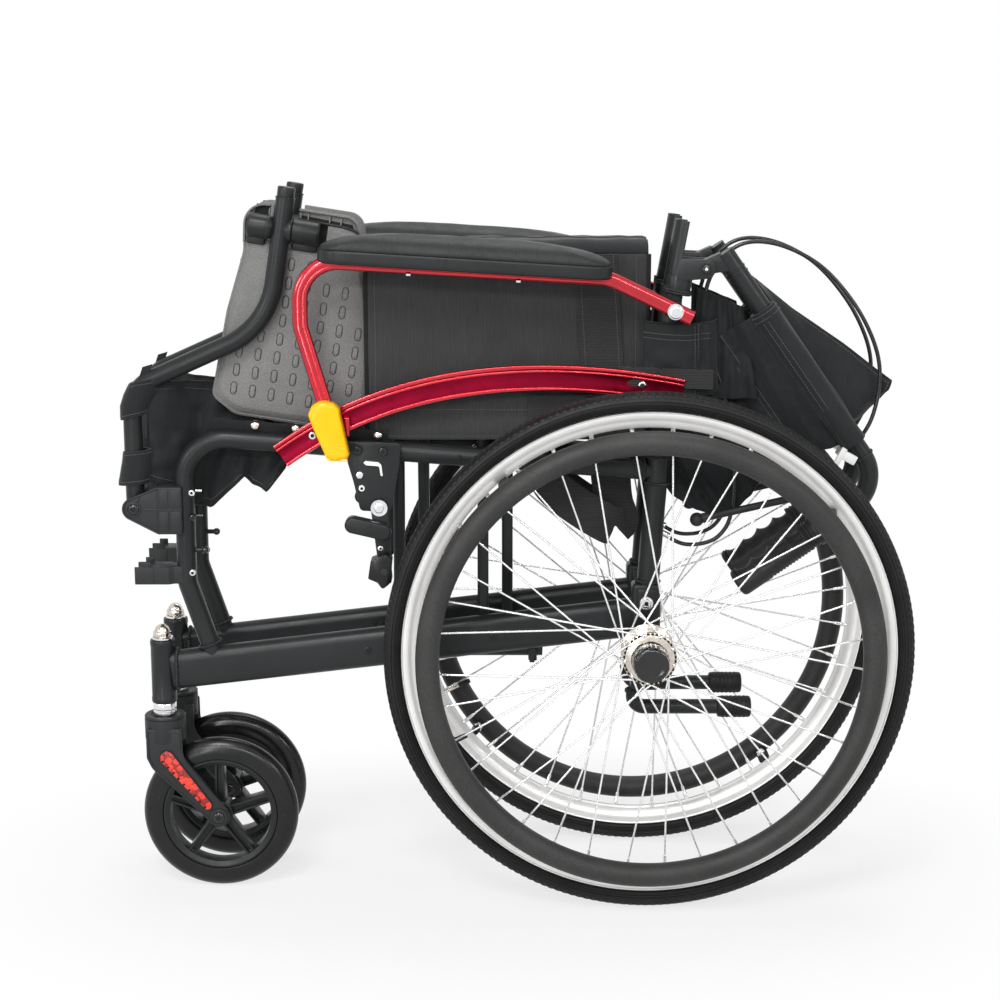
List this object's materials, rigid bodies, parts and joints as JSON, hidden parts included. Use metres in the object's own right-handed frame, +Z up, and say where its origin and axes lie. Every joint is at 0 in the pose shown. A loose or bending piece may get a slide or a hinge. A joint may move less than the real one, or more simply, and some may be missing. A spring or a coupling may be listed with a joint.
{
  "type": "folding wheelchair",
  "caption": "Manual wheelchair folded flat: closed cross-brace, back canes folded down, leg rests turned up, large spoked rear wheels with push rings and small front casters.",
  "frame": {"origin": "centre of the bounding box's footprint, on the floor", "axes": "+X to the chair's rear, +Y to the user's right, +Z up; the left and right sides mirror across Y = 0"},
  "size_m": [0.8392, 0.299, 0.767],
  "materials": {
    "frame_black": "satin black powder coat",
    "plastic_black": "moulded, fine grain",
    "rubber_black": "small block tread",
    "chrome": "bright",
    "rim_silver": "polished",
    "red_anodised": "glossy red anodised",
    "pad_black": "grained integral skin",
    "latch_yellow": "glossy",
    "reflector_red": "dotted inlay",
    "footplate_grey": "pebbled with raised ovals",
    "cloth_charcoal": "woven",
    "grip_black": "matt"
  },
  "bodies": {
    "left_frame": {"left_side_frame": "frame_black", "left_side_guard": "red_anodised", "left_leg_bracket": "plastic_black", "left_lower_clip": "plastic_black", "left_tipping_lever": "frame_black", "left_brake_plate": "frame_black", "left_brake_cable": "grip_black"},
    "brace_a": {"brace_a": "frame_black"},
    "brace_b": {"brace_b": "frame_black"},
    "right_frame": {"right_side_frame": "frame_black", "right_side_guard": "red_anodised", "right_leg_bracket": "plastic_black", "right_lower_clip": "plastic_black", "right_tipping_lever": "frame_black", "right_brake_plate": "frame_black", "right_brake_cable": "grip_black"},
    "left_wheel": {"left_rear_tyre": "rubber_black", "left_rear_rim": "rim_silver", "left_wheel_spokes": "chrome", "left_handrim": "plastic_black", "left_hub_cap": "plastic_black"},
    "left_fork": {"left_caster_fork": "plastic_black", "left_fork_stem": "chrome", "left_fork_reflector": "reflector_red"},
    "left_caster": {"left_caster_rim": "plastic_black", "left_caster_tyre": "rubber_black"},
    "left_brake": {"left_brake_lever": "plastic_black"},
    "left_arm": {"left_armrest_bar": "red_anodised", "left_arm_pad": "pad_black"},
    "left_latch": {"left_armrest_latch": "latch_yellow"},
    "left_leg": {"left_legrest_tube": "frame_black"},
    "left_foot": {"left_footplate": "footplate_grey"},
    "left_calf": {"left_calf_strap": "cloth_charcoal"},
    "left_cane": {"left_back_cane": "frame_black", "left_push_grip": "grip_black"},
    "left_hand_brake": {"left_attendant_lever": "frame_black"},
    "left_back": {"left_back_cloth": "cloth_charcoal"},
    "left_seat": {"left_seat_cloth": "cloth_charcoal"},
    "right_wheel": {"right_rear_tyre": "rubber_black", "right_rear_rim": "rim_silver", "right_wheel_spokes": "chrome", "right_handrim": "plastic_black", "right_hub_cap": "plastic_black"},
    "right_fork": {"right_caster_fork": "plastic_black", "right_fork_stem": "chrome", "right_fork_reflector": "reflector_red"},
    "right_caster": {"right_caster_rim": "plastic_black", "right_caster_tyre": "rubber_black"},
    "right_brake": {"right_brake_lever": "plastic_black"},
    "right_arm": {"right_armrest_bar": "red_anodised", "right_arm_pad": "pad_black"},
    "right_latch": {"right_armrest_latch": "latch_yellow"},
    "right_leg": {"right_legrest_tube": "frame_black"},
    "right_foot": {"right_footplate": "footplate_grey"},
    "right_calf": {"right_calf_strap": "cloth_charcoal"},
    "right_cane": {"right_back_cane": "frame_black", "right_push_grip": "grip_black"},
    "right_hand_brake": {"right_attendant_lever": "frame_black"},
    "right_back": {"right_back_cloth": "cloth_charcoal"},
    "right_seat": {"right_seat_cloth": "cloth_charcoal"}
  },
  "joints": [
    {"name": "fold", "type": "hinge", "parent": "left_frame", "child": "brace_a", "pos_m": [-0.0603, -0.024, 0.265], "axis": [-1, 0, 0], "range_deg": [0, 53.16], "deforming": ["left_seat_cloth", "left_back_cloth", "left_calf_strap", "right_seat_cloth", "right_back_cloth", "right_calf_strap"]},
    {"name": "brace_cross", "type": "hinge", "parent": "brace_a", "child": "brace_b", "pos_m": [-0.0603, 0, 0.4805], "axis": [-1, 0, 0], "range_deg": [-106.33, 0]},
    {"name": "right_foot_of_brace", "type": "hinge", "parent": "brace_b", "child": "right_frame", "pos_m": [-0.0603, 0.024, 0.265], "axis": [-1, 0, 0], "range_deg": [0, 53.17]},
    {"name": "left_seat_turn", "type": "hinge", "parent": "left_frame", "child": "left_seat", "pos_m": [-0.0103, -0.045, 0.4995], "axis": [-1, 0, 0], "range_deg": [0, 90.1]},
    {"name": "left_wheel_spin", "type": "hinge", "parent": "left_frame", "child": "left_wheel", "pos_m": [0.1397, -0.1, 0.28], "axis": [0, 1, 0], "continuous": true},
    {"name": "left_caster_swivel", "type": "hinge", "parent": "left_frame", "child": "left_fork", "pos_m": [-0.3828, -0.045, 0.197], "axis": [0, 0, -1], "range_deg": [-10, 180]},
    {"name": "left_caster_spin", "type": "hinge", "parent": "left_fork", "child": "left_caster", "pos_m": [-0.3243, -0.045, 0.085], "axis": [0, 1, 0], "continuous": true},
    {"name": "left_brake", "type": "hinge", "parent": "left_frame", "child": "left_brake", "pos_m": [-0.145, -0.064, 0.431], "axis": [0, 1, 0], "range_deg": [0, 28]},
    {"name": "left_armrest_flip", "type": "hinge", "parent": "left_frame", "child": "left_arm", "pos_m": [0.1636, -0.076, 0.6399], "axis": [0, 1, 0], "range_deg": [0, 100]},
    {"name": "left_armrest_latch", "type": "hinge", "parent": "left_arm", "child": "left_latch", "pos_m": [-0.1968, -0.076, 0.531], "axis": [0, 1, 0], "range_deg": [0, 30]},
    {"name": "left_legrest_turn", "type": "hinge", "parent": "left_frame", "child": "left_leg", "pos_m": [-0.4062, -0.045, 0.4277], "axis": [0, -1, 0], "range_deg": [0, 176]},
    {"name": "left_footplate_fold", "type": "hinge", "parent": "left_leg", "child": "left_foot", "pos_m": [-0.24456, -0.04, 0.722], "axis": [0.9881, 0, -0.1535], "range_deg": [0, 70.75]},
    {"name": "left_calf_strap_turn", "type": "hinge", "parent": "left_leg", "child": "left_calf", "pos_m": [-0.4062, -0.045, 0.4877], "axis": [0, 0, 1], "range_deg": [0, 90.1]},
    {"name": "right_seat_turn", "type": "hinge", "parent": "right_frame", "child": "right_seat", "pos_m": [-0.0103, 0.045, 0.4995], "axis": [1, 0, 0], "range_deg": [0, 90.1]},
    {"name": "right_wheel_spin", "type": "hinge", "parent": "right_frame", "child": "right_wheel", "pos_m": [0.1397, 0.1, 0.28], "axis": [0, 1, 0], "continuous": true},
    {"name": "right_caster_swivel", "type": "hinge", "parent": "right_frame", "child": "right_fork", "pos_m": [-0.3828, 0.045, 0.197], "axis": [0, 0, 1], "range_deg": [-10, 180]},
    {"name": "right_caster_spin", "type": "hinge", "parent": "right_fork", "child": "right_caster", "pos_m": [-0.3243, 0.045, 0.085], "axis": [0, 1, 0], "continuous": true},
    {"name": "right_brake", "type": "hinge", "parent": "right_frame", "child": "right_brake", "pos_m": [-0.145, 0.064, 0.431], "axis": [0, 1, 0], "range_deg": [0, 28]},
    {"name": "right_armrest_flip", "type": "hinge", "parent": "right_frame", "child": "right_arm", "pos_m": [0.1636, 0.076, 0.6399], "axis": [0, 1, 0], "range_deg": [0, 100]},
    {"name": "right_armrest_latch", "type": "hinge", "parent": "right_arm", "child": "right_latch", "pos_m": [-0.1968, 0.076, 0.531], "axis": [0, 1, 0], "range_deg": [0, 30]},
    {"name": "right_legrest_turn", "type": "hinge", "parent": "right_frame", "child": "right_leg", "pos_m": [-0.4062, 0.045, 0.4277], "axis": [0, -1, 0], "range_deg": [0, 176]},
    {"name": "right_footplate_fold", "type": "hinge", "parent": "right_leg", "child": "right_foot", "pos_m": [-0.24456, 0.04, 0.722], "axis": [-0.9881, 0, 0.1535], "range_deg": [0, 70.75]},
    {"name": "right_calf_strap_turn", "type": "hinge", "parent": "right_leg", "child": "right_calf", "pos_m": [-0.4062, 0.045, 0.4877], "axis": [0, 0, -1], "range_deg": [0, 90.1]},
    {"name": "left_cane_fold", "type": "hinge", "parent": "left_frame", "child": "left_cane", "pos_m": [0.1962, -0.045, 0.6819], "axis": [0, -1, 0], "range_deg": [0, 134.6], "deforming": ["left_brake_cable", "right_brake_cable"]},
    {"name": "left_hand_brake", "type": "hinge", "parent": "left_cane", "child": "left_hand_brake", "pos_m": [0.323, -0.045, 0.44323], "axis": [0, -1, 0], "range_deg": [0, 20], "stiffness_Nm_per_rad": 0.4, "springref_deg": -17.19},
    {"name": "left_back_turn", "type": "hinge", "parent": "left_cane", "child": "left_back", "pos_m": [0.27459, -0.045, 0.61493], "axis": [0.5793, 0, -0.8151], "range_deg": [0, 90.1]},
    {"name": "right_cane_fold", "type": "hinge", "parent": "right_frame", "child": "right_cane", "pos_m": [0.1962, 0.045, 0.6819], "axis": [0, -1, 0], "range_deg": [0, 134.7]},
    {"name": "right_hand_brake", "type": "hinge", "parent": "right_cane", "child": "right_hand_brake", "pos_m": [0.323, 0.045, 0.44323], "axis": [0, -1, 0], "range_deg": [0, 20], "stiffness_Nm_per_rad": 0.4, "springref_deg": -17.19},
    {"name": "right_back_turn", "type": "hinge", "parent": "right_cane", "child": "right_back", "pos_m": [0.27459, 0.045, 0.61493], "axis": [-0.5793, 0, 0.8151], "range_deg": [0, 90.1]}
  ],
  "couplings": [
    {"joint": "brace_cross", "follows": "fold", "ratio": -2},
    {"joint": "right_foot_of_brace", "follows": "fold", "ratio": 1},
    {"joint": "left_seat_turn", "follows": "fold", "ratio": 1.693},
    {"joint": "left_footplate_fold", "follows": "fold", "ratio": 1.33},
    {"joint": "left_calf_strap_turn", "follows": "fold", "ratio": 1.693},
    {"joint": "right_seat_turn", "follows": "fold", "ratio": 1.693},
    {"joint": "right_footplate_fold", "follows": "fold", "ratio": 1.33},
    {"joint": "right_calf_strap_turn", "follows": "fold", "ratio": 1.693},
    {"joint": "left_back_turn", "follows": "fold", "ratio": 1.693},
    {"joint": "right_cane_fold", "follows": "left_cane_fold", "ratio": 1},
    {"joint": "right_back_turn", "follows": "fold", "ratio": 1.693}
  ]
}
